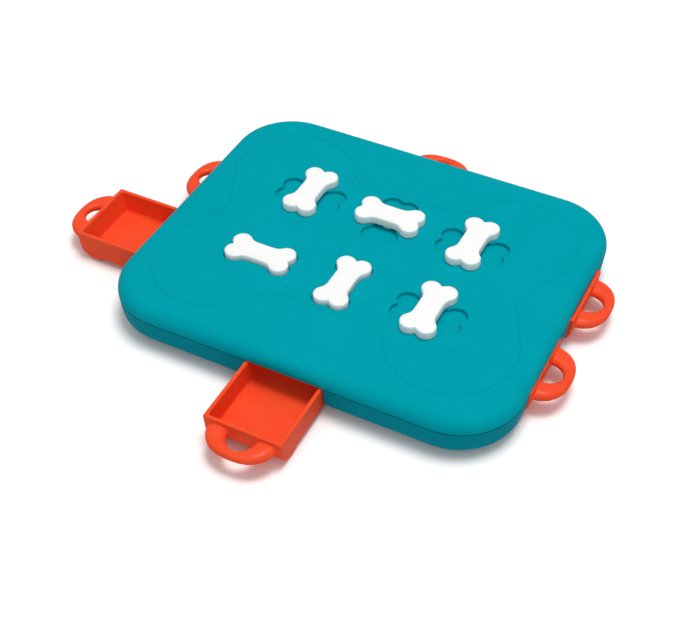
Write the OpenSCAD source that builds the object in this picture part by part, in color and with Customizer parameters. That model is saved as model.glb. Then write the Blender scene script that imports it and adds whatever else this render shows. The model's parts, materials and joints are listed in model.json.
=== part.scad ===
// Dog puzzle feeder: a flat board with six pull-out food drawers, each held by a bone that turns.
// +Z is up, z = 0 is the surface the feet stand on, and the board's middle is on the Z axis.

/* [Board] */
// Length of the board along X, without drawers
board_l = 320; // [300:1:360]
// Width of the board along Y, without drawers
board_w = 264; // [250:1:300]
// Corner radius of the board, seen from above
corner_r = 48.5; // [40:0.5:56]
// Height of the feet under the base
foot_h = 2; // [1.5:0.1:4]
// Height of the base, from its underside to the seam
base_h = 24; // [23.6:0.1:30]
// Height of the cover, from the seam to its top
cover_t = 10; // [9.9:0.1:14]
// Radius of the cover's upper edge
rim_r = 9.8; // [8:0.1:9.9]
// Wall of the base
base_wall = 2; // [1.6:0.1:2.1]
// Wall of the cover where it meets the base
cover_wall = 5; // [4:0.1:7]
// Thickness of the cover's top under the bones
cover_top = 5.8; // [5.2:0.1:6.2]

/* [Curved side] */
// Radius of the curve that carries the side under the base
side_r = 12; // [8.5:0.1:12.6]
// How far in from the edge the centre of that curve lies
side_in = 13; // [12.2:0.1:15]
// Height and depth of the shadow groove along the seam
seam_groove = 0.7; // [0.4:0.1:1]

/* [Bones] */
// Distance of the outer bones from the board's middle, along X
bone_x = 69.3; // [66:0.1:76]
// Distance of both rows from the board's middle, along Y
bone_y = 40.3; // [38:0.1:44]
// Distance of a bone's lobe centres from its own middle, lengthwise
lobe_x = 18.9; // [17:0.1:21]
// Distance of a bone's lobe centres from its own middle, crosswise
lobe_y = 6.3; // [5.8:0.1:7]
// Radius of a lobe
lobe_r = 7.5; // [6.8:0.1:8.2]
// Half the width of a bone's waist
waist = 8.8; // [8:0.1:9.6]
// Radius of the hollow between waist and lobe
hollow_r = 9.5; // [8:0.5:12]
// Thickness of a bone
bone_t = 7; // [5:0.1:9]
// Depth of the recess that a bone drops into
recess_d = 3.3; // [2:0.1:3.6]
// Gap around a bone in its recess
recess_gap = 0.9; // [0.5:0.1:1.5]
// Gap under a bone, above the cover or the recess floor
bone_gap = 0.2; // [0.1:0.05:0.4]
// Diameter of the shaft that a bone turns on
shaft_d = 12; // [10:0.5:14]
// Gap around the shaft in its bore
shaft_gap = 0.08; // [0.05:0.01:0.1]

/* [Lock keys] */
// Length of a lock key
key_l = 26; // [24:0.5:27]
// Width of a lock key
key_w = 10; // [9:0.5:12]
// Thickness of a lock key
key_t = 4; // [3:0.1:4.2]
// Gap between a lock key and the cover's underside while its bone is up
key_gap = 0.2; // [0.1:0.05:0.4]
// Width of the square end that carries the key
spigot_w = 7; // [6:0.1:7.5]
// Gap between the ends of a key and the arms of its drawer's fork
key_side_gap = 1.5; // [1:0.1:2.5]
// Gap around the square end in the key
spigot_gap = 0.1; // [0.05:0.01:0.2]
// How much shorter the square end is than the key is thick, so that the screw clamps the key
spigot_short = 0.2; // [0.1:0.05:0.4]
// Clear height between a key that is up and the catches that pass under it
catch_clear = 0.6; // [0.4:0.1:1.5]

/* [Drawers] */
// Outer width of a drawer at its upper edge
drawer_w = 61.2; // [57:0.1:62]
// Narrowing of a drawer's side down its height
drawer_draft = 0.4; // [0.2:0.1:1.5]
// Length of a drawer's body behind the board's edge
drawer_l = 75; // [70:0.5:76]
// Height of a drawer's upper edge above the base's underside
drawer_top = 23.1; // [20:0.1:23.3]
// Height of a drawer's underside above the base's underside
drawer_lift = 2.4; // [2.3:0.1:4]
// Thickness of a drawer's floor
drawer_floor = 2.5; // [1.5:0.1:3]
// Thickness of a drawer's walls
drawer_wall = 3; // [2:0.1:3.5]
// How much thicker a drawer's front wall is at the tray's floor
front_slope = 3; // [1:0.5:5]
// Depth of a drawer's nose, from the board's edge to the step under it
nose_d = 18; // [17:0.5:20]
// How far a closed drawer stands out from the board's edge
nose_out = 1.1; // [0.5:0.1:3]
// How far the left front drawer is pulled out
left_front_open = 56.4; // [0:0.1:59.5]
// How far the front drawer is pulled out
front_open = 55.8; // [0:0.1:59.5]
// How far the back drawer is pulled out
back_open = 2.6; // [0:0.1:59.5]
// How far the right back drawer is pulled out
right_back_open = 1.9; // [0:0.1:59.5]
// Gap between a drawer and its door
door_gap = 0.6; // [0.4:0.1:1]
// Gap between a drawer's runners and its underside
runner_gap = 0.1; // [0.05:0.05:0.3]

/* [Handles] */
// Half the width of a handle where it meets the drawer
handle_half = 26.5; // [24:0.1:28]
// How far a handle reaches out from where its roots begin
handle_reach = 20.5; // [17:0.1:24]
// Half the width of the finger gap at the drawer's face
gap_half = 10.6; // [9:0.1:13]
// Thickness of a handle at its tip
tip_t = 7; // [5:0.1:8]
// Height of a handle at its tip
tip_h = 6.4; // [5:0.1:8]
// Height of a handle at its roots
root_h = 9; // [7:0.1:10]
// How far a handle's roots sink into the drawer's face
handle_sink = 1.2; // [0.5:0.1:2]
// Height of a handle's middle above the base's underside
handle_z = 15.2; // [14:0.1:16.5]

/* [Guides] */
// Thickness of the guide walls beside a drawer
guide_t = 2.6; // [2:0.1:3]
// Gap between the guide walls and a drawer's stop lugs
guide_gap = 0.8; // [0.5:0.1:1.2]
// How far a stop lug stands out from the drawer's side
lug_out = 1.7; // [1.4:0.1:2]
// Depth of the door posts that the lugs stop against
post_d = 12; // [11:0.5:13]
// Thickness of the catch arms, lugs and runners
catch_t = 3; // [2:0.1:4]
// How far the guide walls reach beyond a closed drawer's catches
bay_spare = 4; // [1:0.5:6]
// Distance of the two runners under a drawer from its middle
runner_y = 17.6; // [12:0.1:20]
// Height of the fork and the lugs above the tray's floor
fork_lift = 2; // [1:0.5:4]
// How far the catches lie behind the middle of their key
catch_from = 6; // [5.5:0.1:8]
// Half the gap between the catches
catch_half = 8; // [7:0.1:9]

/* [Outline on the cover] */
// Width of the bone outline that is cut around the six bones
line_w = 1.6; // [1:0.1:2.5]
// Depth of that outline
line_d = 0.5; // [0.3:0.1:0.8]
// Distance of the outline's lobe centres from the board's middle, along X
line_x = 96; // [94:0.5:98]
// Distance of the outline's lobe centres from the board's middle, along Y
line_y = 61.5; // [60:0.5:64]
// Radius of the outline's lobes
line_lobe = 49; // [46:0.5:50]
// Half the width of the outline's waist
line_waist = 71.5; // [67:0.5:74]
// Radius of the hollow between the outline's waist and its lobes
line_hollow = 20; // [12:0.5:30]
// Distance of the notch in each end from the board's middle
line_notch = 121.5; // [118:0.5:124]

/* [Fasteners and feet] */
// Diameter of the posts that the cover screws go through
post_dia = 9; // [8:0.5:10]
// Diameter of the screws' shanks
screw_d = 2.9; // [2.5:0.1:3.2]
// Diameter of the screws' heads
head_d = 6.5; // [5.5:0.1:7]
// Height of the screws' heads
head_h = 2.2; // [1.6:0.1:2.6]
// Gap around the screws' heads in the base
head_gap = 0.4; // [0.2:0.1:0.6]
// Gap around the screws' shanks in the base
shank_gap = 0.25; // [0.15:0.05:0.4]
// Gap around the screws' shanks in the cover and the bones
thread_gap = 0.05; // [0.02:0.01:0.1]
// Diameter of the rubber feet
foot_d = 16; // [12:0.5:20]
// Depth of the feet's pockets in the base
foot_in = 1; // [0.5:0.1:1.5]
// Gap around the feet in their pockets
pocket_gap = 0.2; // [0.1:0.05:0.4]
// Distance of the corner and inner screws from the board's long edges
screw_in = 34; // [32:0.5:37]
// Distance of the corner screws from the board's short edges
corner_in = 32; // [30:0.5:36]
// Distance of the feet from the board's short edges
foot_from_end = 56; // [52:0.5:62]
// Distance of the feet from the board's long edges
foot_from_side = 36; // [33:0.5:40]

/* [Hidden] */
$fn = 64;
// How far a cut runs past the surface that it opens
eps = 0.5;
// How far joined shapes run into each other
bury = 1;
// Tiny overlap that lets tangent curves cross cleanly
cross = 0.02;
base_z = foot_h;
seam_z = base_z + base_h;
top_z = seam_z + cover_t;
ceiling_z = top_z - cover_top;
floor_z = base_z + base_wall;
side_z = base_z + side_r;
screw_seat_z = base_z + base_h / 2;

// Bones and keys, measured down from the underside of a bone
bone_up_z = top_z + bone_gap;
bone_down_z = bone_up_z - recess_d;
shaft_len = bone_up_z - ceiling_z + key_gap;
spigot_len = key_t - spigot_short;
key_bottom_z = ceiling_z - key_gap - key_t;

// Drawers, in a frame of their own: x = 0 is the board's edge and +x points out
tray_top_z = base_z + drawer_top;
tray_z = base_z + drawer_lift;
tray_floor_z = tray_z + drawer_floor;
door_w = drawer_w + 2 * door_gap;
bay_w = drawer_w + 2 * lug_out + 2 * guide_gap;
door_d = nose_d + door_gap;
lock_side = board_l / 2 - bone_x;
lock_end = board_w / 2 - bone_y;
catch_top_z = key_bottom_z - catch_clear;
arm_in = key_l / 2 + key_side_gap;
bay_len = lock_end + catch_from + catch_t + bay_spare;
handle_mid_z = base_z + handle_z;

// Each drawer: turn, distance of its door from the middle, sideways place, distance to its lock
RIGHT_BACK = [0, board_l / 2, bone_y, lock_side];
RIGHT_FRONT = [0, board_l / 2, -bone_y, lock_side];
LEFT_BACK = [180, board_l / 2, -bone_y, lock_side];
LEFT_FRONT = [180, board_l / 2, bone_y, lock_side];
BACK = [90, board_w / 2, 0, lock_end];
FRONT = [-90, board_w / 2, 0, lock_end];
STATIONS = [RIGHT_BACK, RIGHT_FRONT, LEFT_BACK, LEFT_FRONT, BACK, FRONT];

// Screws: four in the corners, four beside the end drawers, two near the middle
corner_spot = [board_l / 2 - corner_in, board_w / 2 - screw_in];
inner_spot = [bay_w / 2 + guide_t + 2 * post_dia, board_w / 2 - screw_in];
middle_spot = [bay_w / 2 + guide_t + post_dia, 0];
foot_spot = [board_l / 2 - foot_from_end, board_w / 2 - foot_from_side];

// ---------- Shared shapes ----------

// Puts its children in all four quadrants at the given spot
module four_ways(spot)
    for (sx = [-1, 1], sy = [-1, 1])
        translate([sx * spot[0], sy * spot[1], 0]) children();

// A board with rounded corners whose edge follows the 2D profile given as its child.
// The profile has x = 0 at the board's edge, reaches in to x = -corner_r, and y is height.
module profiled_board(z0, z1) {
    inner_l = board_l - 2 * corner_r;
    inner_w = board_w - 2 * corner_r;
    for (q = [[1, 1, 0], [-1, 1, 90], [-1, -1, 180], [1, -1, 270]])
        translate([q[0] * inner_l / 2, q[1] * inner_w / 2, 0])
            rotate([0, 0, q[2]])
                rotate_extrude(angle = 90) translate([corner_r, 0]) children();
    for (a = [0, 180])
        rotate([0, 0, a]) translate([board_l / 2, inner_w / 2, 0])
            rotate([90, 0, 0]) linear_extrude(inner_w) children();
    for (a = [90, 270])
        rotate([0, 0, a]) translate([board_w / 2, inner_l / 2, 0])
            rotate([90, 0, 0]) linear_extrude(inner_l) children();
    translate([-inner_l / 2, -inner_w / 2, z0]) cube([inner_l, inner_w, z1 - z0]);
}

// Rounded rectangle made of circles and squares
module rounded_rect(l, w, r) {
    square([l - 2 * r, w], center = true);
    square([l, w - 2 * r], center = true);
    four_ways([l / 2 - r, w / 2 - r]) circle(r);
}

// Side of the base: a slightly leaning wall that runs into a curve and under the board.
// inset moves the whole side inwards by that much, and groove steps its upper edge back.
module side_profile(inset, top, groove = 0) {
    r = side_r - inset;
    wall_r = r - cross;
    reach = side_in - inset;
    rise = seam_z - side_z;
    span = sqrt(reach * reach + rise * rise);
    angle = atan2(rise, reach) - acos(wall_r / span);
    touch = [-side_in + wall_r * cos(angle), side_z + wall_r * sin(angle)];
    polygon([[-side_in, side_z], touch, [-inset, seam_z - groove], [-inset - groove, seam_z - groove],
        [-inset - groove, top], [-side_in, top]]);
    translate([-side_in, side_z]) circle(r);
    translate([-corner_r, side_z - r]) square([corner_r - side_in, top - side_z + r]);
}

// Bone shape: four lobes, a straight waist and four hollows that run into the lobes.
module bone_shape(grow) {
    lobe = lobe_r + grow;
    half = waist + grow;
    hollow = hollow_r - grow;
    reach = hollow_r + lobe_r;
    hollow_y = waist + hollow_r;
    hollow_x = lobe_x - sqrt(reach * reach - pow(hollow_y - lobe_y, 2));
    touch_y = lobe_y + lobe * (hollow_y - lobe_y) / reach;
    four_ways([lobe_x, lobe_y]) circle(lobe);
    difference() {
        square([2 * lobe_x, 2 * touch_y], center = true);
        four_ways([hollow_x, hollow_y]) circle(hollow + cross);
        for (s = [-1, 1])
            translate([-hollow_x, s > 0 ? half : -hollow_y]) square([2 * hollow_x, hollow_y - half]);
    }
}

// Puts its children in a drawer's own frame
module at_station(s)
    rotate([0, 0, s[0]]) translate([s[1], s[2], 0]) children();

// Puts its children on the shaft of a drawer's bone, lengthwise along the drawer's slide
module at_bone(s)
    at_station(s) translate([-s[3], 0, 0]) children();

// ---------- Board ----------

module screw_spots() {
    four_ways(corner_spot) children();
    four_ways(inner_spot) children();
    for (sx = [-1, 1]) translate([sx * middle_spot[0], middle_spot[1], 0]) children();
}

// The cover's edge: upright for a little, then round to the top
module cover_profile() {
    translate([-corner_r, seam_z]) square([corner_r - rim_r, cover_t]);
    translate([-corner_r, seam_z]) square([corner_r, cover_t - rim_r]);
    translate([-rim_r, top_z - rim_r]) circle(rim_r);
}

// Large bone outline around the six bones, moved in by inset: four lobes with straight sides
// down to the notch in each end, a straight waist, and hollows that run into the lobes
module outline_shape(inset) {
    lobe = line_lobe - inset;
    half = line_waist - inset;
    tangent = acos(line_lobe / norm([line_notch - line_x, line_y])) - atan2(line_y, line_notch - line_x);
    notch = line_x + (lobe + sin(tangent) * line_y) / cos(tangent);
    reach = line_hollow + line_lobe;
    hollow_y = line_waist + line_hollow;
    hollow_x = line_x - sqrt(reach * reach - pow(hollow_y - line_y, 2));
    touch_x = line_x + lobe * (hollow_x - line_x) / reach;
    touch_y = line_y + lobe * (hollow_y - line_y) / reach;
    four_ways([line_x, line_y]) circle(lobe, $fn = 180);
    for (sx = [-1, 1], sy = [-1, 1]) scale([sx, sy])
        polygon([[0, 0], [notch, 0], [line_x + lobe * cos(tangent), line_y + lobe * sin(tangent)],
            [line_x, line_y], [touch_x, line_y], [0, line_y]]);
    difference() {
        square([2 * touch_x, 2 * touch_y], center = true);
        for (sx = [-1, 1], sy = [-1, 1]) translate([sx * hollow_x, sy * hollow_y])
            circle(line_hollow + inset + cross, $fn = 180);
        for (s = [-1, 1])
            translate([-hollow_x, s > 0 ? half : -hollow_y]) square([2 * hollow_x, hollow_y - half]);
    }
}

module top_cover() color("#0f9fae") {
    difference() {
        intersection() {
            profiled_board(seam_z, top_z) cover_profile();
            translate([-board_l, -board_w, seam_z]) cube([2 * board_l, 2 * board_w, cover_t + eps]);
        }
        translate([0, 0, seam_z - eps]) linear_extrude(ceiling_z - seam_z + eps)
            rounded_rect(board_l - 2 * cover_wall, board_w - 2 * cover_wall, corner_r - cover_wall);
        for (s = STATIONS) at_bone(s) {
            translate([0, 0, top_z - recess_d]) linear_extrude(recess_d + eps) bone_shape(recess_gap);
            translate([0, 0, ceiling_z - eps]) cylinder(d = shaft_d + 2 * shaft_gap, h = cover_top + 2 * eps);
        }
        translate([0, 0, top_z - line_d]) linear_extrude(line_d + eps) difference() {
            outline_shape(0);
            outline_shape(line_w);
        }
    }
    difference() {
        screw_spots() translate([0, 0, seam_z]) cylinder(d = post_dia, h = ceiling_z - seam_z);
        screw_spots() translate([0, 0, seam_z - eps]) cylinder(d = screw_d + 2 * thread_gap, h = ceiling_z - seam_z);
    }
}

// Guide walls, door posts and runners of one drawer
module bay(s) at_station(s) {
    wall_h = seam_z - floor_z;
    for (m = [-1, 1]) scale([1, m, 1]) {
        translate([-bay_len, bay_w / 2, floor_z]) cube([bay_len - base_wall, guide_t, wall_h]);
        translate([-post_d, door_w / 2, base_z]) cube([post_d, bay_w / 2 - door_w / 2 + bury, seam_z - base_z]);
        translate([-bay_len, runner_y, floor_z - bury])
            cube([bay_len - door_d, catch_t, tray_z - runner_gap - floor_z + bury]);
    }
}

// Opening for a drawer's nose, cut down through the side and the floor's edge
module door(s) at_station(s)
    translate([-door_d, -door_w / 2, 0]) cube([door_d + eps, door_w, seam_z + eps]);

module base() color("#077c8c") difference() {
    union() {
        difference() {
            profiled_board(base_z, seam_z) side_profile(0, seam_z, seam_groove);
            profiled_board(floor_z, seam_z + eps) side_profile(base_wall, seam_z + eps);
        }
        intersection() {
            profiled_board(base_z, seam_z) side_profile(0, seam_z, seam_groove);
            for (s = STATIONS) bay(s);
        }
        screw_spots() translate([0, 0, floor_z - bury]) cylinder(d = post_dia, h = seam_z - floor_z + bury);
    }
    for (s = STATIONS) door(s);
    screw_spots() {
        cylinder(d = head_d + 2 * head_gap, h = screw_seat_z);
        cylinder(d = screw_d + 2 * shank_gap, h = seam_z + eps);
    }
    foot_spots() cylinder(d = foot_d + 2 * pocket_gap, h = base_z + foot_in);
}

// ---------- Fasteners and feet ----------

// Pan-head screw with a cross recess, head down and shank up from z = 0
module screw(length, flange) {
    slot_l = head_d * 0.6;
    slot_w = head_d / 8;
    difference() {
        translate([0, 0, -head_h]) cylinder(d = head_d, h = head_h);
        for (a = [0, 90]) rotate([0, 0, a]) translate([-slot_l / 2, -slot_w / 2, -head_h - eps])
            cube([slot_l, slot_w, head_h / 2 + eps]);
    }
    translate([0, 0, -head_h / 4]) cylinder(d = flange, h = head_h / 4);
    cylinder(d = screw_d, h = length);
}

module cover_screws() color("silver") screw_spots()
    translate([0, 0, screw_seat_z]) screw(ceiling_z - screw_seat_z - bury, head_d);

// Feet: one in the middle and one towards each corner
module foot_spots() {
    children();
    four_ways(foot_spot) children();
}

module feet() color("#2b2f33") foot_spots() {
    cylinder(d1 = foot_d - foot_h, d2 = foot_d, h = foot_h / 2);
    translate([0, 0, foot_h / 2]) cylinder(d = foot_d, h = foot_h / 2 + foot_in);
}

// ---------- Drawers ----------

// Section across the slide: width at the top, narrower below by the draft
module drawer_across(inset, z0, z1) {
    half = drawer_w / 2 - inset;
    low = half - drawer_draft * (tray_top_z - z0) / (tray_top_z - tray_z);
    high = half + drawer_draft * (z1 - tray_top_z) / (tray_top_z - tray_z);
    polygon([[-low, z0], [low, z0], [high, z1], [-high, z1]]);
}

// Runs its 2D section, drawn sideways and upwards, along the slide
module across(from, to)
    translate([from, 0, 0]) rotate([90, 0, 90]) linear_extrude(to - from) children();

// Where the handle's inner and outer edges run, at angle t from one root (0) to the other (half a turn)
function handle_edge(half, reach, t) = [sin(t) * reach, cos(t) * half];
// Blends a section's height from the root to the tip
function handle_height(t) = tip_h + (root_h - tip_h) * pow(cos(t), 2);

HANDLE_RINGS = 16;
HANDLE_SIDES = 12;
HALF_TURN = 180;
FULL_TURN = 360;

// D-shaped pull with a rounded section, wide at its roots and slim at its tip
module handle() {
    rings = [for (i = [0:HANDLE_RINGS]) let (
        t = HALF_TURN * i / HANDLE_RINGS,
        outer = handle_edge(handle_half, handle_reach, t),
        inner = handle_edge(gap_half, handle_reach - tip_t, t),
        mid = (outer + inner) / 2,
        arm = (outer - inner) / 2
    ) [for (k = [0:HANDLE_SIDES - 1]) let (a = FULL_TURN * k / HANDLE_SIDES)
        [mid[0] + arm[0] * cos(a), mid[1] + arm[1] * cos(a), handle_height(t) / 2 * sin(a)]]];
    points = [for (ring = rings) for (p = ring) p];
    last = HANDLE_RINGS * HANDLE_SIDES;
    faces = concat(
        [[for (k = [0:HANDLE_SIDES - 1]) k]],
        [[for (k = [0:HANDLE_SIDES - 1]) last + HANDLE_SIDES - 1 - k]],
        [for (i = [0:HANDLE_RINGS - 1], k = [0:HANDLE_SIDES - 1])
            let (n = (k + 1) % HANDLE_SIDES, b = i * HANDLE_SIDES, c = b + HANDLE_SIDES)
            [b + k, c + k, c + n, b + n]]
    );
    polyhedron(points, faces, convexity = 4);
}

// Two arms behind the tray, with catches that pass beside the bone's key when it lies along the slide
module catch_fork(lock, low) {
    end = lock + catch_from + catch_t;
    for (m = [-1, 1]) scale([1, m, 1]) {
        translate([-end, arm_in, low]) cube([end - drawer_l + bury, catch_t, tray_top_z - low]);
        translate([-end, catch_half, low]) cube([catch_t, arm_in + catch_t - catch_half, catch_top_z - low]);
    }
}

module drawer(s, out) color("#ee4a22") at_station(s) translate([out, 0, 0]) {
    front_wall = drawer_wall + front_slope;
    low = tray_floor_z + fork_lift;
    difference() {
        union() {
            across(-drawer_l, -side_in) drawer_across(0, tray_z, tray_top_z);
            intersection() {
                translate([nose_out, drawer_w, 0]) rotate([90, 0, 0])
                    linear_extrude(2 * drawer_w) side_profile(0, seam_z);
                across(-nose_d, nose_out) drawer_across(0, base_z, tray_top_z);
            }
        }
        intersection() {
            translate([0, drawer_w, 0]) rotate([90, 0, 0]) linear_extrude(2 * drawer_w)
                polygon([[-drawer_l + drawer_wall, tray_floor_z], [nose_out - front_wall, tray_floor_z],
                    [nose_out - drawer_wall, tray_top_z + eps], [-drawer_l + drawer_wall, tray_top_z + eps]]);
            across(-drawer_l, nose_out) drawer_across(drawer_wall, tray_floor_z, tray_top_z + eps);
        }
    }
    for (m = [-1, 1]) scale([1, m, 1])
        translate([-drawer_l, drawer_w / 2 - drawer_draft - bury, low])
            cube([catch_t, lug_out + drawer_draft + bury, tray_top_z - catch_t - low]);
    catch_fork(s[3], low);
    translate([nose_out - handle_sink, 0, handle_mid_z]) handle();
}

module drawer_left_back() drawer(LEFT_BACK, 0);
module drawer_left_front() drawer(LEFT_FRONT, left_front_open);
module drawer_front() drawer(FRONT, front_open);
module drawer_back() drawer(BACK, back_open);
module drawer_right_back() drawer(RIGHT_BACK, right_back_open);
module drawer_right_front() drawer(RIGHT_FRONT, 0);

// ---------- Bones, keys and key screws ----------

// Each takes the drawer that its bone locks, and whether the bone lies down in its recess.
// A bone that is up is turned across its recess.
module at_turned_bone(s, down) at_bone(s)
    translate([0, 0, down ? bone_down_z : bone_up_z]) rotate([0, 0, down ? 0 : 90]) children();

module bone(s, down) color("#fbfbfa") at_turned_bone(s, down) difference() {
    union() {
        linear_extrude(bone_t) bone_shape(0);
        translate([0, 0, -shaft_len]) cylinder(d = shaft_d, h = shaft_len + bury);
        translate([-spigot_w / 2, -spigot_w / 2, -shaft_len - spigot_len])
            cube([spigot_w, spigot_w, spigot_len + bury]);
    }
    translate([0, 0, -shaft_len - spigot_len - eps])
        cylinder(d = screw_d + 2 * thread_gap, h = shaft_len + spigot_len);
}

module key(s, down) color("#e9e9e4") at_turned_bone(s, down)
    translate([0, 0, -shaft_len - key_t]) difference() {
        linear_extrude(key_t) {
            square([key_l - key_w, key_w], center = true);
            for (m = [-1, 1]) translate([m * (key_l - key_w) / 2, 0]) circle(d = key_w);
        }
        translate([0, 0, key_t / 2])
            cube([spigot_w + 2 * spigot_gap, spigot_w + 2 * spigot_gap, key_t + 2 * eps], center = true);
    }

module key_screw(s, down) color("silver") at_turned_bone(s, down)
    translate([0, 0, -shaft_len - key_t]) screw(shaft_len, sqrt(2) * spigot_w);

module bone_back_left() bone(LEFT_BACK, false);
module bone_back_middle() bone(BACK, false);
module bone_back_right() bone(RIGHT_BACK, false);
module bone_front_left() bone(LEFT_FRONT, true);
module bone_front_middle() bone(FRONT, true);
module bone_front_right() bone(RIGHT_FRONT, false);
module key_back_left() key(LEFT_BACK, false);
module key_back_middle() key(BACK, false);
module key_back_right() key(RIGHT_BACK, false);
module key_front_left() key(LEFT_FRONT, true);
module key_front_middle() key(FRONT, true);
module key_front_right() key(RIGHT_FRONT, false);
module key_screw_back_left() key_screw(LEFT_BACK, false);
module key_screw_back_middle() key_screw(BACK, false);
module key_screw_back_right() key_screw(RIGHT_BACK, false);
module key_screw_front_left() key_screw(LEFT_FRONT, true);
module key_screw_front_middle() key_screw(FRONT, true);
module key_screw_front_right() key_screw(RIGHT_FRONT, false);

top_cover();
base();
cover_screws();
feet();
drawer_left_back();
drawer_left_front();
drawer_front();
drawer_back();
drawer_right_back();
drawer_right_front();
bone_back_left();
bone_back_middle();
bone_back_right();
bone_front_left();
bone_front_middle();
bone_front_right();
key_back_left();
key_back_middle();
key_back_right();
key_front_left();
key_front_middle();
key_front_right();
key_screw_back_left();
key_screw_back_middle();
key_screw_back_right();
key_screw_front_left();
key_screw_front_middle();
key_screw_front_right();
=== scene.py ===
import json
import math

import bmesh
import bpy
import numpy as np
from mathutils import Matrix, Vector
from mathutils.geometry import delaunay_2d_cdt


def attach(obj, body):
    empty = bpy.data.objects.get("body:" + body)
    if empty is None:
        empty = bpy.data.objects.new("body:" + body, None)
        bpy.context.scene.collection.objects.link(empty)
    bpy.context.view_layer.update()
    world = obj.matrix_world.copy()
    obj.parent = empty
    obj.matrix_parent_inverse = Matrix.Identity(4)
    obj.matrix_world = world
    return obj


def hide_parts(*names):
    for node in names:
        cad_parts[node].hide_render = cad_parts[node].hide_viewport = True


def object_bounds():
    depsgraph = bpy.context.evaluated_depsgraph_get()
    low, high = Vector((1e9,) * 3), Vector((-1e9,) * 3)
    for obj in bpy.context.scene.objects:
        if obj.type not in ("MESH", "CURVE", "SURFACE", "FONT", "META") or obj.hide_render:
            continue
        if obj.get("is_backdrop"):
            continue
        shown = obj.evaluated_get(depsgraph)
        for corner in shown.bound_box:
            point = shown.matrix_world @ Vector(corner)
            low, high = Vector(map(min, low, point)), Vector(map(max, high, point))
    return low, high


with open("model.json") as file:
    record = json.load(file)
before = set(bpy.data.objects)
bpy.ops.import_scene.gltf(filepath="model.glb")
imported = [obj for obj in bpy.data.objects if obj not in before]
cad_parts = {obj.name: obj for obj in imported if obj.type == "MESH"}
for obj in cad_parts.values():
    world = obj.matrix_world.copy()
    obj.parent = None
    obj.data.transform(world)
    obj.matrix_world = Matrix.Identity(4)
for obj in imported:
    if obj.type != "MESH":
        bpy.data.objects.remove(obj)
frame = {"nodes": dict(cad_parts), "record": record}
CAD_BOX = [list(corner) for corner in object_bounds()]
NODES = frame["nodes"]
MM = 0.001

# ---------- Sizes, in millimetres, as in the part's source ----------

BOARD_L, BOARD_W, CORNER_R = 320.0, 264.0, 48.5
BASE_Z, SEAM_Z, TOP_Z, CEILING_Z = 2.0, 26.0, 36.0, 30.2
RIM_R, COVER_WALL = 9.8, 5.0
SIDE_R, SIDE_IN = 12.0, 13.0
BONE_T = 7.0
LOBE_X, LOBE_Y, LOBE_R, WAIST, HOLLOW_R = 18.9, 6.3, 7.5, 8.8, 9.5
RECESS_D, RECESS_GAP, BONE_UP_Z = 3.3, 0.9, 36.2
SHAFT_R, SHAFT_LEN, SPIGOT_W, SPIGOT_LEN, SCREW_R = 6.0, 6.2, 7.0, 3.8, 1.5
TRAY_Z, TRAY_FLOOR_Z, TRAY_TOP_Z = 4.4, 6.9, 25.1
DRAWER_W, DRAFT, DRAWER_L, WALL = 61.2, 0.4, 75.0, 3.0
NOSE_D, NOSE_OUT, HANDLE_Z = 18.0, 1.1, 17.2
HANDLE_HALF, HANDLE_REACH, GAP_HALF, TIP_T, TIP_H, ROOT_H = 26.5, 20.5, 10.6, 7.0, 6.4, 9.0
KEY_L, KEY_GAP = 26.0, 1.5
CATCH_FROM, CATCH_T, CATCH_HALF, CATCH_UP, CATCH_TOP_Z = 6.0, 3.0, 8.0, 2.0, 25.4
LUG_IN, LUG_OUT = 25.0, 1.7
LINE_X, LINE_Y, LINE_R, LINE_NOTCH, LINE_WAIST, LINE_HOLLOW = 96.0, 61.5, 49.0, 121.5, 71.5, 20.0
# the straight upper part of the base's side: how high it is over the curve's middle, and how far it leans in
SIDE_RISE = SEAM_Z - BASE_Z - SIDE_R
SIDE_LEAN = math.acos(SIDE_R / math.hypot(SIDE_IN, SIDE_RISE)) - math.atan2(SIDE_RISE, SIDE_IN)

# turn in degrees, distance of the door, sideways place, distance to its lock, pulled out by
DRAWERS = {
    "right_back": (0, 160.0, 40.3, 90.7, 1.9),
    "right_front": (0, 160.0, -40.3, 90.7, 0.0),
    "left_back": (180, 160.0, -40.3, 90.7, 0.0),
    "left_front": (180, 160.0, 40.3, 90.7, 56.4),
    "back": (90, 132.0, 0.0, 91.7, 2.6),
    "front": (-90, 132.0, 0.0, 91.7, 55.8),
}
# drawer that the bone locks, and whether the bone lies in its recess
BONES = {
    "back_left": ("left_back", False),
    "back_middle": ("back", False),
    "back_right": ("right_back", False),
    "front_left": ("left_front", True),
    "front_middle": ("front", True),
    "front_right": ("right_front", False),
}


def turned(degrees):
    return Matrix.Rotation(math.radians(degrees), 4, "Z")


def moved(x, y, z):
    return Matrix.Translation((x * MM, y * MM, z * MM))


def drawer_matrix(name):
    turn, edge, side, _, out = DRAWERS[name]
    return turned(turn) @ moved(edge + out, side, 0)


def bone_matrix(drawer, down):
    turn, edge, side, lock, _ = DRAWERS[drawer]
    z = BONE_UP_Z - (RECESS_D if down else 0)
    return turned(turn) @ moved(edge - lock, side, z) @ turned(0 if down else 90)


# ---------- Mesh helpers ----------

def show(name, data):
    """A new object with that data, put in the scene."""
    obj = bpy.data.objects.new(name, data)
    bpy.context.scene.collection.objects.link(obj)
    return obj


def new_mesh(name, verts_mm, faces):
    mesh = bpy.data.meshes.new(name)
    mesh.from_pydata([tuple(v) for v in (np.asarray(verts_mm, float) * MM).tolist()], [], faces)
    mesh.validate()
    return mesh


MOULDED_SHARP, CAD_SHARP = 50, 35   # degrees


def shade(mesh, sharp):
    """Smooth shading, with sharp edges where faces meet at more than that many degrees."""
    mesh.shade_smooth()
    mesh.set_sharp_from_angle(angle=math.radians(sharp))


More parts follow.
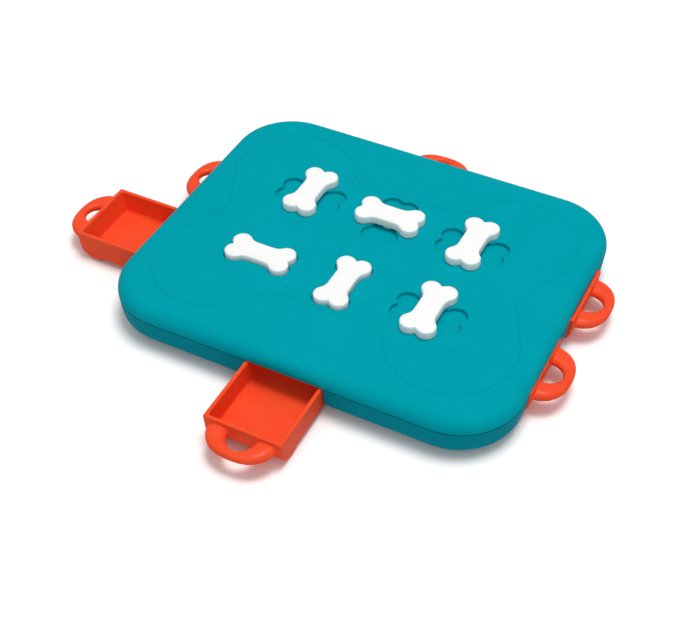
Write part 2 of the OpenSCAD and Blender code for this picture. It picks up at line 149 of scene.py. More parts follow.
def weight_normals(obj):
    """Keeps large flat faces flat in their shading, so that only the rounded edges turn."""
    weighted = obj.modifiers.new("weighted", "WEIGHTED_NORMAL")
    weighted.keep_sharp = True
    weighted.weight = 100


def apply_modifiers(obj):
    graph = bpy.context.evaluated_depsgraph_get()
    mesh = bpy.data.meshes.new_from_object(obj.evaluated_get(graph), depsgraph=graph)
    obj.modifiers.clear()
    obj.data = mesh


class Shell:
    """Collects rings of points, and joins them by strips and flat fills."""

    def __init__(self):
        self.verts = []
        self.faces = []

    def ring(self, xy, z):
        start = len(self.verts)
        zs = np.broadcast_to(np.asarray(z, float), (len(xy),))
        self.verts += [(float(p[0]), float(p[1]), float(h)) for p, h in zip(xy, zs)]
        return list(range(start, start + len(xy)))

    def strip(self, low, high):
        n = len(low)
        self.faces += [(low[i], low[(i + 1) % n], high[(i + 1) % n], high[i]) for i in range(n)]

    def loft(self, rings):
        for low, high in zip(rings, rings[1:]):
            self.strip(low, high)

    def fill(self, rings, up=True):
        """Fills the level area that lies inside an odd number of these closed rings."""
        index = [i for ring in rings for i in ring]
        points = np.array([self.verts[i][:2] for i in index])
        edges, start = [], 0
        for ring in rings:
            n = len(ring)
            edges += [(start + i, start + (i + 1) % n) for i in range(n)]
            start += n
        out = delaunay_2d_cdt([Vector(p) for p in points.tolist()], edges, [], 0, 1e-6, True)
        verts = np.array([tuple(v) for v in out[0]])
        tris = np.array([tuple(f) for f in out[2]])
        middle = verts[tris].mean(axis=1)
        inside = np.zeros(len(middle), int)
        start = 0
        for ring in rings:
            a = points[start:start + len(ring)]
            b = np.roll(a, -1, axis=0)
            start += len(ring)
            for p, q in zip(a, b):
                crosses = (p[1] > middle[:, 1]) != (q[1] > middle[:, 1])
                if crosses.any():
                    x = p[0] + (middle[:, 1] - p[1]) / (q[1] - p[1] + 1e-30) * (q[0] - p[0])
                    inside += (crosses & (middle[:, 0] < x)).astype(int)
        source = [index[ids[0]] for ids in out[3]]
        for tri, keep in zip(tris, inside % 2):
            if keep:
                a, b, c = (source[i] for i in tri)
                self.faces.append((a, b, c) if up else (a, c, b))


def quarter_turn(n):
    """n angles from 0 to 90 degrees, in radians."""
    return np.radians(np.linspace(0, 90, n))


def arc(cx, cy, r, start, end, n):
    """Points of an arc from start to end degrees, without its last point."""
    a = np.radians(np.linspace(start, end, n, endpoint=False))
    return np.stack([cx + r * np.cos(a), cy + r * np.sin(a)], axis=1)


def mirrored(quarter):
    """A closed outline from its part with x and y above 0, which runs from the y axis to the x axis."""
    x, y = quarter[:, 0], quarter[:, 1]
    back = quarter[::-1]
    return np.concatenate([
        quarter[:-1],
        np.stack([back[:, 0], -back[:, 1]], axis=1)[:-1],
        np.stack([-x, -y], axis=1)[:-1],
        np.stack([-back[:, 0], back[:, 1]], axis=1)[:-1],
    ])


CORNER_STEPS, HOLLOW_STEPS, LOBE_STEPS, NOTCH_STEPS = 20, 12, 36, 5


def board_ring(inset):
    """The board's outline, counter-clockwise, moved in by inset."""
    r = CORNER_R - inset
    cx, cy = BOARD_L / 2 - CORNER_R, BOARD_W / 2 - CORNER_R
    parts = []
    for sx, sy, a in ((1, 1, 0), (-1, 1, 90), (-1, -1, 180), (1, -1, 270)):
        parts.append(arc(sx * cx, sy * cy, r, a, a + 90, CORNER_STEPS))
        last = np.radians(a + 90)
        parts.append(np.array([[sx * cx + r * np.cos(last), sy * cy + r * np.sin(last)]]))
    return np.concatenate(parts)


def bone_ring(grow, notch_r=0.0):
    """A bone's outline, moved out by grow. notch_r rounds the notch in each end."""
    r, half, hollow = LOBE_R + grow, WAIST + grow, HOLLOW_R - grow
    hollow_y = WAIST + HOLLOW_R
    reach = HOLLOW_R + LOBE_R
    dx = math.sqrt(reach ** 2 - (hollow_y - LOBE_Y) ** 2)
    hollow_x = LOBE_X - dx
    touch = math.degrees(math.atan2(LOBE_Y - hollow_y, dx))
    parts = [
        np.array([[0.0, half], [hollow_x / 2, half]]),
        arc(hollow_x, hollow_y, hollow, -90, touch, HOLLOW_STEPS),
    ]
    if notch_r > 0:
        f = notch_r - grow
        xn = LOBE_X + math.sqrt((r + f) ** 2 - LOBE_Y ** 2)
        end = -math.degrees(math.asin(LOBE_Y / (r + f)))
        parts.append(arc(LOBE_X, LOBE_Y, r, 180 + touch, end, LOBE_STEPS))
        parts.append(arc(xn, 0, f, 180 + end, 180, NOTCH_STEPS))
        parts.append(np.array([[xn - f, 0.0]]))
    else:
        end = -math.degrees(math.asin(LOBE_Y / r))
        parts.append(arc(LOBE_X, LOBE_Y, r, 180 + touch, end, LOBE_STEPS))
        parts.append(np.array([[LOBE_X + math.sqrt(r * r - LOBE_Y ** 2), 0.0]]))
    return mirrored(np.concatenate(parts))[::-1]


# ---------- Surfaces from distance fields ----------

def meet(a, b, r):
    """Both a and b, with a rounded edge of radius r where they meet."""
    return np.minimum(-r, np.maximum(a, b)) + np.hypot(np.maximum(r + a, 0), np.maximum(r + b, 0))


def join(a, b, r):
    """Either of a and b, with a fillet of radius r where they meet."""
    return -meet(-a, -b, r)


def cut(a, b, r):
    """What is left of a without b, with a rounded edge of radius r."""
    return meet(a, -b, r)


def surface_net(field, low, high, step):
    """A closed mesh of field = 0 inside the box, as (points, quads), with the points on the surface."""
    axes = [np.arange(lo, hi + step, step) for lo, hi in zip(low, high)]
    grid = np.meshgrid(*axes, indexing="ij")
    values = field(*grid)
    shape = values.shape
    cells = tuple(s - 1 for s in shape)
    total = np.zeros(cells + (3,))
    count = np.zeros(cells)
    crossings = []
    for axis in range(3):
        lo = [slice(None)] * 3
        hi = [slice(None)] * 3
        lo[axis], hi[axis] = slice(0, -1), slice(1, None)
        a, b = values[tuple(lo)], values[tuple(hi)]
        ids = np.argwhere((a < 0) != (b < 0))
        va, vb = a[tuple(ids.T)], b[tuple(ids.T)]
        place = ids.astype(float)
        place[:, axis] += va / (va - vb)
        crossings.append((ids, va < 0))
        others = [k for k in range(3) if k != axis]
        for du in (0, 1):
            for dv in (0, 1):
                cell = ids.copy()
                cell[:, others[0]] -= du
                cell[:, others[1]] -= dv
                ok = ((cell >= 0) & (cell < cells)).all(axis=1)
                np.add.at(total, tuple(cell[ok].T), place[ok])
                np.add.at(count, tuple(cell[ok].T), 1)
    used = count > 0
    number = np.full(cells, -1)
    number[used] = np.arange(used.sum())
    points = total[used] / count[used][:, None] * step + np.array(low)
    quads = []
    for axis, (ids, inside) in enumerate(crossings):
        u, v = [k for k in range(3) if k != axis]
        corners = []
        for du, dv in ((0, 0), (1, 0), (1, 1), (0, 1)):
            cell = ids.copy()
            cell[:, u] -= du
            cell[:, v] -= dv
            ok = ((cell >= 0) & (cell < cells)).all(axis=1)
            corners.append(np.where(ok, number[tuple(np.clip(cell, 0, np.array(cells) - 1).T)], -1))
        quad = np.stack(corners, axis=1)
        flip = ~inside if axis != 1 else inside
        quad[flip] = quad[flip][:, ::-1]
        quads.append(quad[(quad >= 0).all(axis=1)])
    points, _ = settle(field, points, 3)
    return points, np.concatenate(quads)


PROBE, LEAST_SLOPE_SQUARED, LONGEST_MOVE = 0.02, 0.05, 0.3


def settle(field, points, rounds):
    """Moves the points onto field = 0, and gives them with the field's direction there."""
    h = PROBE
    for k in range(rounds + 1):
        x, y, z = points.T
        slope = np.stack([
            field(x + h, y, z) - field(x - h, y, z),
            field(x, y + h, z) - field(x, y - h, z),
            field(x, y, z + h) - field(x, y, z - h)], axis=1) / (2 * h)
        if k < rounds:
            size = np.maximum((slope ** 2).sum(axis=1), LEAST_SLOPE_SQUARED)
            move = slope * (field(x, y, z) / size)[:, None]
            points = points - np.clip(move, -LONGEST_MOVE, LONGEST_MOVE)
    return points, slope / np.maximum(np.linalg.norm(slope, axis=1), 1e-9)[:, None]


def field_mesh(name, field, low, high, step, keep):
    """The field's surface as mesh data, thinned to that share of its faces, with the field's own normals."""
    points, quads = surface_net(field, low, high, step)
    obj = show(name, new_mesh(name, points, [tuple(q) for q in quads.tolist()]))
    thin = obj.modifiers.new("thin", "DECIMATE")
    thin.ratio = keep
    apply_modifiers(obj)
    mesh = obj.data
    co = np.empty(len(mesh.vertices) * 3)
    mesh.vertices.foreach_get("co", co)
    points, normals = settle(field, co.reshape(-1, 3) / MM, 2)
    mesh.vertices.foreach_set("co", (points * MM).ravel())
    mesh.shade_smooth()
    mesh.normals_split_custom_set_from_vertices(normals.tolist())
    mesh.name = name
    bpy.data.objects.remove(obj)
    return mesh


# ---------- Materials ----------

def srgb(r, g, b):
    def linear(c):
        c /= 255
        return c / 12.92 if c <= 0.04045 else ((c + 0.055) / 1.055) ** 2.4
    return (linear(r), linear(g), linear(b), 1.0)


class Look:
    """A node material with its colour, roughness and bumps built up from layers of noise."""

    def __init__(self, name, colour, roughness, specular=0.5):
        self.material = bpy.data.materials.new(name)
        self.material.use_nodes = True
        self.nodes = self.material.node_tree.nodes
        self.links = self.material.node_tree.links
        self.shader = self.nodes["Principled BSDF"]
        self.shader.inputs["Roughness"].default_value = roughness
        self.shader.inputs["Specular IOR Level"].default_value = specular
        self.shader.inputs["Base Color"].default_value = colour
        self.base = colour
        self.colour = None
        self.height = None
        self.place = self.nodes.new("ShaderNodeTexCoord").outputs["Object"]

    def noise(self, size_mm, detail, rough=0.5):
        node = self.nodes.new("ShaderNodeTexNoise")
        node.inputs["Scale"].default_value = 1 / (size_mm * MM)
        node.inputs["Detail"].default_value = detail
        node.inputs["Roughness"].default_value = rough
        self.links.new(self.place, node.inputs["Vector"])
        return node.outputs["Fac"]

    def ramp(self, value, low, high, start, end):
        """Goes from start to end while the value goes from low to high."""
        node = self.nodes.new("ShaderNodeMapRange")
        node.inputs["From Min"].default_value = low
        node.inputs["From Max"].default_value = high
        node.inputs["To Min"].default_value = start
        node.inputs["To Max"].default_value = end
        self.links.new(value, node.inputs["Value"])
        return node.outputs["Result"]

    def patches(self, size_mm, detail, low, high, share, colour, rough=0.5):
        """Mixes a colour in, up to that share, where noise of that size is above low."""
        node = self.nodes.new("ShaderNodeMix")
        node.data_type = "RGBA"
        noise = self.noise(size_mm, detail, rough)
        self.links.new(self.ramp(noise, low, high, 0, share), node.inputs["Factor"])
        if self.colour is None:
            node.inputs["A"].default_value = self.base
        else:
            self.links.new(self.colour, node.inputs["A"])
        node.inputs["B"].default_value = colour
        self.colour = node.outputs["Result"]

    def grain(self, size_mm, detail, strength, depth_mm, rough=0.5):
        """Small bumps of that size, on top of those that are there."""
        node = self.nodes.new("ShaderNodeBump")
        node.inputs["Strength"].default_value = strength
        node.inputs["Distance"].default_value = depth_mm * MM
        self.links.new(self.noise(size_mm, detail, rough), node.inputs["Height"])
        if self.height is not None:
            self.links.new(self.height, node.inputs["Normal"])
        self.height = node.outputs["Normal"]

    def uneven(self, size_mm, detail, low, high, start, end):
        """Roughness that goes from start to end as noise of that size goes from low to high."""
        noise = self.noise(size_mm, detail)
        self.links.new(self.ramp(noise, low, high, start, end), self.shader.inputs["Roughness"])

    def done(self):
        self.links.new(self.colour, self.shader.inputs["Base Color"])
        self.links.new(self.height, self.shader.inputs["Normal"])
        return self.material


def teal(name, base, light, dark):
    """Grained matt plastic with large cloudy patches and fine speckles."""
    look = Look(name, base, roughness=0.62, specular=0.02)
    look.shader.inputs["Specular Tint"].default_value = (0.1, 0.95, 1, 1)
    look.patches(34, 3, 0.4, 0.66, 0.22, light)
    look.patches(1.6, 3, 0.5, 0.72, 0.5, light, rough=0.6)
    look.patches(0.9, 2, 0.54, 0.72, 0.65, dark, rough=0.6)
    look.uneven(2.2, 2, 0.35, 0.65, 0.52, 0.68)
    look.grain(0.7, 3, 0.35, 0.12, rough=0.6)
    look.grain(2.4, 2, 0.2, 0.15)
    return look.done()


def moulded(name, base, light, dark, roughness, specular=0.5, coat=0, depth_mm=0):
    """Smooth plastic. coat adds a soft gloss, and depth_mm lets light in to that depth."""
    look = Look(name, base, roughness, specular)
    if coat:
        look.shader.inputs["Coat Weight"].default_value = coat
        look.shader.inputs["Coat Roughness"].default_value = 0.25
    if depth_mm:
        look.shader.inputs["Subsurface Weight"].default_value = 1.0
        look.shader.inputs["Subsurface Scale"].default_value = depth_mm * MM
        look.shader.inputs["Subsurface Radius"].default_value = (1, 1, 1)
    look.patches(18, 2, 0.4, 0.65, 0.5, light)
    look.patches(6, 3, 0.45, 0.7, 0.35, dark)
    look.uneven(5, 3, 0.35, 0.65, roughness - 0.05, roughness + 0.07)
    look.grain(0.5, 2, 0.15, 0.06)
    look.grain(9, 1, 0.06, 0.2)
    return look.done()


def steel(name):
    look = Look(name, srgb(196, 196, 190), roughness=0.34)
    look.shader.inputs["Metallic"].default_value = 1.0
    look.patches(2, 3, 0.4, 0.7, 0.6, srgb(150, 150, 148))
    look.uneven(1.2, 3, 0.3, 0.7, 0.26, 0.46)
    look.grain(0.4, 2, 0.15, 0.03)
    return look.done()


def rubber(name):
    look = Look(name, srgb(44, 48, 52), roughness=0.78, specular=0.3)
    look.patches(3, 3, 0.45, 0.7, 0.5, srgb(62, 66, 70))
    look.grain(0.5, 3, 0.3, 0.08)
    return look.done()


# each by its slot in the record, with its main, its lighter and its darker colour
LOOKS = {
    "teal_top": teal(
        "teal_top", srgb(0, 154, 168), srgb(4, 168, 181), srgb(0, 130, 146)),
    # teal_side is the top's teal made darker: painted shade, standing in for the shade that the base's side
    # lies in under the overhead lamps
    "teal_side": teal(
        "teal_side", srgb(0, 135, 152), srgb(2, 147, 163), srgb(0, 117, 133)),
    "orange": moulded(
        "orange", srgb(244, 78, 41), srgb(247, 88, 47), srgb(234, 67, 37),
        roughness=0.5, specular=0, coat=0.22),
    "bone_white": moulded(
        "bone_white", srgb(250, 249, 243), srgb(253, 252, 247), srgb(247, 246, 240),
        roughness=0.4, depth_mm=4),
    "key_plastic": moulded(
        "key_plastic", srgb(226, 226, 218), srgb(236, 236, 230), srgb(212, 212, 204),
        roughness=0.5),
    "screw_steel": steel("screw_steel"),
    "foot_rubber": rubber("foot_rubber"),
}


def dress(obj, slot):
    obj.data.materials.clear()
    obj.data.materials.append(LOOKS[slot])


def finish_piece(obj, body, node, slot):
    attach(obj, body)
    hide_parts(node)
    dress(obj, slot)


# ---------- Cover ----------

# The moulded outline's groove: how far in from its outer edge, and how deep there
LINE_D, LINE_LOBE_STEPS = 0.5, 60
LINE_SECTION = [
    (-0.25, 0), (-0.05, 0.05), (0.15, 0.22), (0.4, 0.42), (0.8, LINE_D),
    (1.2, 0.42), (1.45, 0.22), (1.65, 0.05), (1.85, 0),
]
# how the cover's foot, a recess's rim, its floor's edge and its bore are softened
LIP_EASE, MOUTH_R, SINK_R, BORE_EASE = 0.25, 0.8, 0.6, 0.4
BORE_GAP, ROUND_SIDES = 0.08, 48


def line_ring(inset):
    """The large bone outline, counter-clockwise, moved in by inset."""
    r, hollow, half = LINE_R - inset, LINE_HOLLOW + inset, LINE_WAIST - inset
    far = math.hypot(LINE_NOTCH - LINE_X, LINE_Y)
    tangent = math.acos(LINE_R / far) - math.atan2(LINE_Y, LINE_NOTCH - LINE_X)
    hollow_y = LINE_WAIST + LINE_HOLLOW
    reach = LINE_R + LINE_HOLLOW
    dx = math.sqrt(reach ** 2 - (hollow_y - LINE_Y) ** 2)
    hollow_x = LINE_X - dx
    touch = math.degrees(math.atan2(LINE_Y - hollow_y, dx))
    normal = (math.cos(tangent), math.sin(tangent))
    notch_x = LINE_X + (r + normal[1] * LINE_Y) / normal[0]
    quarter = np.concatenate([
        np.array([[0.0, half], [hollow_x / 2, half]]),
        arc(hollow_x, hollow_y, hollow, -90, touch, HOLLOW_STEPS),
        arc(LINE_X, LINE_Y, r, 180 + touch, math.degrees(tangent), LINE_LOBE_STEPS),
        np.array([[LINE_X + r * normal[0], LINE_Y + r * normal[1]]]),
        np.array([[notch_x, 0.0]]),
    ])
    return mirrored(quarter)[::-1]


def recess(shell, place):
    """One bone's recess and the bore under it, as its ring at the top and its ring at the ceiling."""
    turn = np.array([[place[0][0], place[0][1]], [place[1][0], place[1][1]]])
    middle = np.array([place[0][3], place[1][3]]) / MM

    def ring(outline, z):
        return shell.ring(outline @ turn.T + middle, z)

    floor_z = TOP_Z - RECESS_D
    wall = []
    for a in quarter_turn(6):
        outline = bone_ring(RECESS_GAP + MOUTH_R * (1 - math.sin(a)))
        wall.append(ring(outline, TOP_Z - MOUTH_R * (1 - math.cos(a))))
    for a in quarter_turn(5):
        outline = bone_ring(RECESS_GAP - SINK_R * (1 - math.cos(a)))
        wall.append(ring(outline, floor_z + SINK_R * (1 - math.sin(a))))
    shell.loft(wall[::-1])
    bore_r = SHAFT_R + BORE_GAP
    eased, round_bore = (arc(0, 0, r, 0, 360, ROUND_SIDES) for r in (bore_r + BORE_EASE, bore_r))
    bore = [ring(eased, floor_z), ring(round_bore, floor_z - BORE_EASE), ring(round_bore, CEILING_Z)]
    shell.loft(bore[::-1])
    shell.fill([wall[-1], bore[0]])
    return wall[0], bore[-1]


def cover_piece():
    shell = Shell()
    inner = [shell.ring(board_ring(COVER_WALL), z) for z in (SEAM_Z, CEILING_Z)]
    shell.strip(inner[1], inner[0])
    outer = [shell.ring(board_ring(LIP_EASE), SEAM_Z), shell.ring(board_ring(0), SEAM_Z + LIP_EASE)]
    for a in quarter_turn(15):
        outer.append(shell.ring(board_ring(RIM_R * (1 - math.cos(a))), TOP_Z - RIM_R + RIM_R * math.sin(a)))
    shell.loft(outer)
    shell.fill([outer[0], inner[0]], up=False)
    mouths, bores = zip(*(recess(shell, bone_matrix(drawer, True)) for drawer, _ in BONES.values()))
    shell.fill([inner[1], *bores], up=False)
    groove = [shell.ring(line_ring(inset), TOP_Z - depth) for inset, depth in LINE_SECTION]
    shell.loft(groove)
    shell.fill([outer[-1], *mouths, groove[0], groove[-1]])
    mesh = new_mesh("cover_shell", shell.verts, shell.faces)
    shade(mesh, MOULDED_SHARP)
    obj = show("cover_shell", mesh)
    weight_normals(obj)
    return obj


cover = cover_piece()
finish_piece(cover, "board", "top_cover", "teal_top")

# ---------- Base: the CAD shape with its outer edges softened ----------

# points closer than this are joined, flatter edges are dissolved, and sharper ones may be rounded
WELD_M, FLAT_DEG, EDGE_DEG = 2e-6, 0.2, 30
BEVEL_W, BEVEL_STEPS = 0.8, 3
# the lip's lighter rounding, and how near to the outer side an edge has to lie
LIP_WEIGHT, LIP_H = 0.4, 0.8
FLAT_TOL, SIDE_TOL, DOOR_REACH = 0.05, 0.25, 0.7


def soften(node, name, chosen, width_mm, segments):
    """A copy of a CAD node's mesh, with its sharp edges rounded by the weight that chosen() gives."""
    mesh = NODES[node].data.copy()
    mesh.name = name
    obj = show(name, mesh)
    bm = bmesh.new()
    bm.from_mesh(mesh)
    bmesh.ops.remove_doubles(bm, verts=bm.verts, dist=WELD_M)
    bmesh.ops.dissolve_limit(bm, angle_limit=math.radians(FLAT_DEG), verts=bm.verts, edges=bm.edges)
    weight = bm.edges.layers.float.new("bevel_weight_edge")
    for edge in bm.edges:
        if len(edge.link_faces) == 2 and edge.calc_face_angle(0) > math.radians(EDGE_DEG):
            a, b = (np.array(v.co) / MM for v in edge.verts)
            edge[weight] = chosen(a, b)
    bm.to_mesh(mesh)
    bm.free()
    bevel = obj.modifiers.new("bevel", "BEVEL")
    bevel.limit_method = "WEIGHT"
    bevel.width = width_mm * MM
    bevel.segments = segments
    bevel.use_clamp_overlap = False
    apply_modifiers(obj)
    shade(obj.data, CAD_SHARP)
    weight_normals(obj)
    return obj


def side_depth(p):
    """How far a point lies inside the board's outline, in mm, along the level."""
    ax, ay = abs(p[0]), abs(p[1])
    cx, cy = BOARD_L / 2 - CORNER_R, BOARD_W / 2 - CORNER_R
    if ax > cx and ay > cy:
        return CORNER_R - math.hypot(ax - cx, ay - cy)
    return min(BOARD_L / 2 - ax, BOARD_W / 2 - ay)


def side_at(z):
    """How far in the base's outer side lies at that height."""
    if z > BASE_Z + SIDE_R * (1 - math.sin(SIDE_LEAN)):
        return (SEAM_Z - z) * math.tan(SIDE_LEAN)
    return SIDE_IN - math.sqrt(max(SIDE_R ** 2 - (BASE_Z + SIDE_R - z) ** 2, 0))


def outer_edge(a, b):
    """Bevel weight of an edge on the base: its lip, and the doors where they meet the outside."""
    for p in (a, b):
        depth = side_depth(p)
        if p[2] < BASE_Z + FLAT_TOL:
            if depth > NOSE_D + DOOR_REACH:
                return 0.0
        elif abs(depth - side_at(p[2])) > SIDE_TOL:
            return 0.0
    return LIP_WEIGHT if min(a[2], b[2]) > SEAM_Z - LIP_H else 1.0


base = soften("base", "base_shell", outer_edge, BEVEL_W, BEVEL_STEPS)
# the base's side gets teal_side, whose darker teal is painted shade
finish_piece(base, "board", "base", "teal_side")

# The CAD solids that show as they are
for node, obj in NODES.items():
    dress(obj, next(s["material_slot"] for s in frame["record"]["subparts"] if s["node"] == node))

# ---------- Bones ----------

BONE_TOP_R, BONE_LOW_R, NOTCH_R, SCREW_HOLE_TOP, SCREW_SIDES = 1.1, 0.5, 1.2, -0.5, 24


def bone_mesh():
    shell = Shell()
    rings = []
    for a in quarter_turn(4):
        ease = BONE_LOW_R * (1 - math.sin(a))
        rings.append(shell.ring(bone_ring(-ease, NOTCH_R), BONE_LOW_R * (1 - math.cos(a))))
    for a in quarter_turn(8):
        ease = BONE_TOP_R * (1 - math.cos(a))
        rings.append(shell.ring(bone_ring(-ease, NOTCH_R), BONE_T - BONE_TOP_R * (1 - math.sin(a))))
    shell.loft(rings)
    shell.fill([rings[-1]])
    end_z = -SHAFT_LEN - SPIGOT_LEN
    shaft = [shell.ring(arc(0, 0, SHAFT_R, 0, 360, ROUND_SIDES), z) for z in (-SHAFT_LEN, 0)]
    shell.loft(shaft)
    shell.fill([rings[0], shaft[1]], up=False)
    w = SPIGOT_W / 2
    square = np.array([[w, w], [-w, w], [-w, -w], [w, -w]])
    spigot = [shell.ring(square, z) for z in (end_z, -SHAFT_LEN)]
    shell.loft(spigot)
    shell.fill([shaft[0], spigot[1]], up=False)
    hole = [shell.ring(arc(0, 0, SCREW_R, 0, 360, SCREW_SIDES), z) for z in (SCREW_HOLE_TOP, end_z)]
    shell.loft(hole)
    shell.fill([hole[0]], up=False)
    shell.fill([spigot[0], hole[1]], up=False)
    mesh = new_mesh("bone", shell.verts, shell.faces)
    shade(mesh, MOULDED_SHARP)
    return mesh


BONE_MESH = bone_mesh()
for name, (drawer, down) in BONES.items():
    mesh = BONE_MESH.copy()
    mesh.transform(bone_matrix(drawer, down))
    bone = show("bone_knob_" + name, mesh)
    weight_normals(bone)
    finish_piece(bone, "bone_" + name + "_body", "bone_" + name, "bone_white")

# ---------- Drawers ----------

# radii of the drawer's edges and fillets
SIDE_EDGE_R, TOP_EDGE_R, MOUTH_EDGE_R, NOSE_EDGE_R = 0.9, 0.7, 0.7, 0.5
NOSE_JOIN_R, HANDLE_JOIN_R, TRAY_CORNER_R, TRAY_FLOOR_R = 0.3, 1.8, 2.0, 1.6
FRONT_LEAN, LEAN_OVER, HANDLE_SINK, ROUNDNESS = 3.0, 0.5, 1.2, 2.3
# how far behind the nose the handle is worked out, and where its bow ends
BOW_REACH, BOW_END, FAR, BOW_POINTS = 4, 2.5, 50.0, 49


def slab(x, y, z, lo, hi):
    """A plain block between two corners."""
    return np.maximum.reduce([lo[0] - x, x - hi[0], lo[1] - y, y - hi[1], lo[2] - z, z - hi[2]])


def nose_profile(x, z):
    """Distance from the side's profile, moved out to the nose."""
    dx, dz = x - (NOSE_OUT - SIDE_IN), z - (BASE_Z + SIDE_R)
    line = dx * math.cos(SIDE_LEAN) - dz * math.sin(SIDE_LEAN) - SIDE_R
    curve = np.hypot(dx, dz) - SIDE_R
    return np.where(np.arctan2(dz, dx) > -SIDE_LEAN, line, np.where(dx < 0, BASE_Z - z, curve))


def handle_field(x, y, z):
    """A rounded bow whose width and height change from its roots to its tip."""
    t = np.radians(np.linspace(0, 180, BOW_POINTS))
    ox, oy = np.sin(t) * HANDLE_REACH, np.cos(t) * HANDLE_HALF
    ix, iy = np.sin(t) * (HANDLE_REACH - TIP_T), np.cos(t) * GAP_HALF
    mx, my = (ox + ix) / 2 + NOSE_OUT - HANDLE_SINK, (oy + iy) / 2
    half_w = np.hypot(ox - ix, oy - iy) / 2
    half_h = (TIP_H + (ROOT_H - TIP_H) * np.cos(t) ** 2) / 2
    best = np.full(x.shape, np.inf)
    width = np.zeros(x.shape)
    height = np.zeros(x.shape)
    for k in range(len(t) - 1):
        ex, ey = mx[k + 1] - mx[k], my[k + 1] - my[k]
        s = np.clip(((x - mx[k]) * ex + (y - my[k]) * ey) / (ex * ex + ey * ey), 0, 1)
        d = np.hypot(x - mx[k] - s * ex, y - my[k] - s * ey)
        near = d < best
        best = np.where(near, d, best)
        width = np.where(near, half_w[k] + s * (half_w[k + 1] - half_w[k]), width)
        height = np.where(near, half_h[k] + s * (half_h[k + 1] - half_h[k]), height)
    u, v = best / width, (z - HANDLE_Z) / height
    section = (np.abs(u) ** ROUNDNESS + np.abs(v) ** ROUNDNESS) ** (1 / ROUNDNESS)
    return (section - 1) * np.minimum(width, height)


def drawer_field(lock):
    """A shut drawer with its nose, handle and catch fork, with the board's edge at x = 0."""
    def field(x, y, z):
        ay = np.abs(y)
        half = DRAWER_W / 2 - DRAFT * (TRAY_TOP_Z - z) / (TRAY_TOP_Z - TRAY_Z)
        body = np.maximum.reduce([TRAY_Z - z, -DRAWER_L - x, x + SIDE_IN])
        nose = meet(nose_profile(x, z), -NOSE_D - x, NOSE_EDGE_R)
        outer = join(body, nose, NOSE_JOIN_R)
        outer = meet(outer, ay - half, SIDE_EDGE_R)
        outer = meet(outer, z - TRAY_TOP_Z, TOP_EDGE_R)
        foot = NOSE_OUT - WALL - FRONT_LEAN
        slope = FRONT_LEAN / (TRAY_TOP_Z + LEAN_OVER - TRAY_FLOOR_Z)
        front = (x - foot - slope * (z - TRAY_FLOOR_Z)) / math.hypot(1, slope)
        hollow = meet(front, ay - half + WALL, TRAY_CORNER_R)
        hollow = meet(hollow, -DRAWER_L + WALL - x, TRAY_CORNER_R)
        hollow = meet(hollow, TRAY_FLOOR_Z - z, TRAY_FLOOR_R)
        solid = cut(outer, hollow, MOUTH_EDGE_R)
        near = x > NOSE_OUT - BOW_REACH
        if near.any():
            bow = np.full(x.shape, FAR)
            bow[near] = handle_field(x[near], y[near], z[near])
            bow = np.maximum(bow, NOSE_OUT - BOW_END - x)
            solid = join(solid, bow, HANDLE_JOIN_R)
        low, top = TRAY_FLOOR_Z + CATCH_UP, TRAY_TOP_Z
        end = lock + CATCH_FROM + CATCH_T
        arm_in = KEY_L / 2 + KEY_GAP
        arm_out = arm_in + CATCH_T
        arm = slab(x, ay, z, (-end, arm_in, low), (1 - DRAWER_L, arm_out, top))
        hook = slab(x, ay, z, (-end, CATCH_HALF, low), (CATCH_T - end, arm_out, CATCH_TOP_Z))
        lug_out = DRAWER_W / 2 + LUG_OUT
        lug = slab(x, ay, z, (-DRAWER_L, LUG_IN, low), (CATCH_T - DRAWER_L, lug_out, top - CATCH_T))
        return np.minimum.reduce([solid, arm, hook, lug])
    return field


# the grid's step and the share of the faces that is kept, and the box that holds a drawer
FINE, QUICK = (0.5, 0.22), (0.9, 0.5)
BOX_BACK, BOX_FRONT, BOX_HALF, BOX_LOW_Z, BOX_HIGH_Z = 11.0, 1.5, 33.0, 1.0, 27.0


def drawer_mesh(lock):
    step, keep = FINE
    low = (-lock - BOX_BACK, -BOX_HALF, BOX_LOW_Z)
    high = (NOSE_OUT + HANDLE_REACH + BOX_FRONT, BOX_HALF, BOX_HIGH_Z)
    return field_mesh("drawer_%.0f" % lock, drawer_field(lock), low, high, step, keep)


LOCKS = sorted({lock for _, _, _, lock, _ in DRAWERS.values()})
DRAWER_MESHES = {lock: drawer_mesh(lock) for lock in LOCKS}
for name, (_, _, _, lock, _) in DRAWERS.items():
    mesh = DRAWER_MESHES[lock].copy()
    mesh.transform(drawer_matrix(name))
    tray = show("tray_" + name, mesh)
    finish_piece(tray, "drawer_" + name + "_body", "drawer_" + name, "orange")

# ---------- Floor, light and camera ----------

FLOOR_R, FADE_FROM, FLOOR_SIDES = 1.1, 0.45, 96
CARD_SEEN, CARD_THROWN = (1.1, 1.08, 1.07, 1), (0.8, 0.8, 0.8, 1)
WHITE, WORLD_SEEN, WORLD_THROWN = (1, 1, 1, 1), 1.0, 0.31
# place and diameter in metres, and power in watts; each lamp points at the frame's origin
LAMPS = {
    "key": ((0.25, 0.18, 2.68), 1.1, 40),
    "wide": ((0.25, 0.18, 2.68), 3.0, 15),
    "front": ((0.9, -2.3, 1.9), 1.6, 12),
}
# the photo's camera: lens and sensor in mm, what it points at, and where it stands from there
LENS, SENSOR = 65.5, 36
AIM = Vector((0.012157, -0.052175, 0.020))
AZIMUTH, ELEVATION, DISTANCE = math.radians(26.79), math.radians(44.30), 0.9362


def mixed(tree, share, first, second):
    """The first shader where share is 0, and the second where it is 1."""
    node = tree.nodes.new("ShaderNodeMixShader")
    for socket, source in zip(node.inputs, (share, first, second)):
        tree.links.new(source, socket)
    return node.outputs[0]


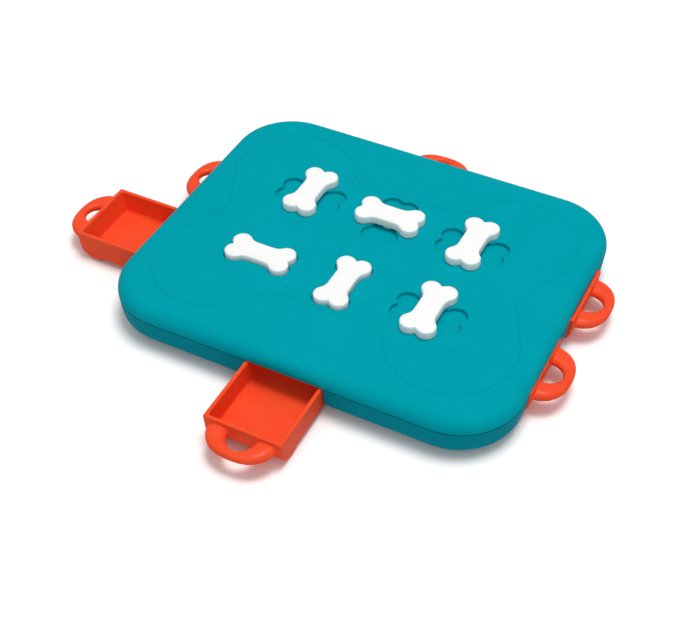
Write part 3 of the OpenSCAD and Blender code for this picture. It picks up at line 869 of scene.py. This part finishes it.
def seen_directly(tree):
    """1 for rays from the camera, off a mirror or through glass, and 0 for the rest."""
    path = tree.nodes.new("ShaderNodeLightPath")
    share = path.outputs["Is Camera Ray"]
    for kind in ("Is Glossy Ray", "Is Transmission Ray"):
        node = tree.nodes.new("ShaderNodeMath")
        node.operation = "MAXIMUM"
        tree.links.new(share, node.inputs[0])
        tree.links.new(path.outputs[kind], node.inputs[1])
        share = node.outputs[0]
    return share


def card(tree, colour):
    node = tree.nodes.new("ShaderNodeBsdfDiffuse")
    node.inputs["Color"].default_value = colour
    return node.outputs[0]


def sky(tree, strength):
    node = tree.nodes.new("ShaderNodeBackground")
    node.inputs["Color"].default_value = WHITE
    node.inputs["Strength"].default_value = strength
    return node.outputs[0]


def floor_material():
    """White card, a little greyer in the light that it throws back up, that fades out to its edge."""
    material = bpy.data.materials.new("floor_white")
    material.use_nodes = True
    tree = material.node_tree
    tree.nodes.clear()
    far = tree.nodes.new("ShaderNodeVectorMath")
    far.operation = "LENGTH"
    place = tree.nodes.new("ShaderNodeTexCoord")
    tree.links.new(place.outputs["Object"], far.inputs[0])
    fade = tree.nodes.new("ShaderNodeMapRange")
    fade.interpolation_type = "SMOOTHSTEP"
    fade.inputs["From Min"].default_value = FADE_FROM
    fade.inputs["From Max"].default_value = FLOOR_R
    tree.links.new(far.outputs["Value"], fade.inputs["Value"])
    solid = mixed(tree, seen_directly(tree), card(tree, CARD_THROWN), card(tree, CARD_SEEN))
    clear = tree.nodes.new("ShaderNodeBsdfTransparent").outputs[0]
    output = tree.nodes.new("ShaderNodeOutputMaterial")
    tree.links.new(mixed(tree, fade.outputs["Result"], solid, clear), output.inputs["Surface"])
    return material


floor_mesh = bpy.data.meshes.new("floor")
floor_points = [(x, y, 0) for x, y in arc(0, 0, FLOOR_R, 0, 360, FLOOR_SIDES).tolist()]
floor_mesh.from_pydata(floor_points, [], [range(FLOOR_SIDES)])
floor_mesh.materials.append(floor_material())
floor = show("floor", floor_mesh)
floor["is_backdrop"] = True

for name, (place, size, power) in LAMPS.items():
    light = bpy.data.lights.new(name, "AREA")
    light.shape = "DISK"
    light.size = size
    light.energy = power
    lamp = show(name, light)
    lamp.location = place
    lamp.rotation_euler = (-Vector(place)).to_track_quat("-Z", "Y").to_euler()

world = bpy.data.worlds.new("studio")
bpy.context.scene.world = world
world.use_nodes = True
tree = world.node_tree
tree.nodes.clear()
output = tree.nodes.new("ShaderNodeOutputWorld")
glow = mixed(tree, seen_directly(tree), sky(tree, WORLD_THROWN), sky(tree, WORLD_SEEN))
tree.links.new(glow, output.inputs["Surface"])

camera_data = bpy.data.cameras.new("camera")
camera_data.lens = LENS
camera_data.sensor_width = SENSOR
camera = show("camera", camera_data)
camera.location = AIM + DISTANCE * Vector((
    math.sin(AZIMUTH) * math.cos(ELEVATION),
    -math.cos(AZIMUTH) * math.cos(ELEVATION),
    math.sin(ELEVATION)))
camera.rotation_euler = (AIM - camera.location).to_track_quat("-Z", "Y").to_euler()
bpy.context.scene.camera = camera
bpy.context.scene.view_settings.view_transform = "Standard"

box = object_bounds()
{"cad": [[float(v) for v in c] for c in CAD_BOX], "final": [[float(v) for v in c] for c in box]}
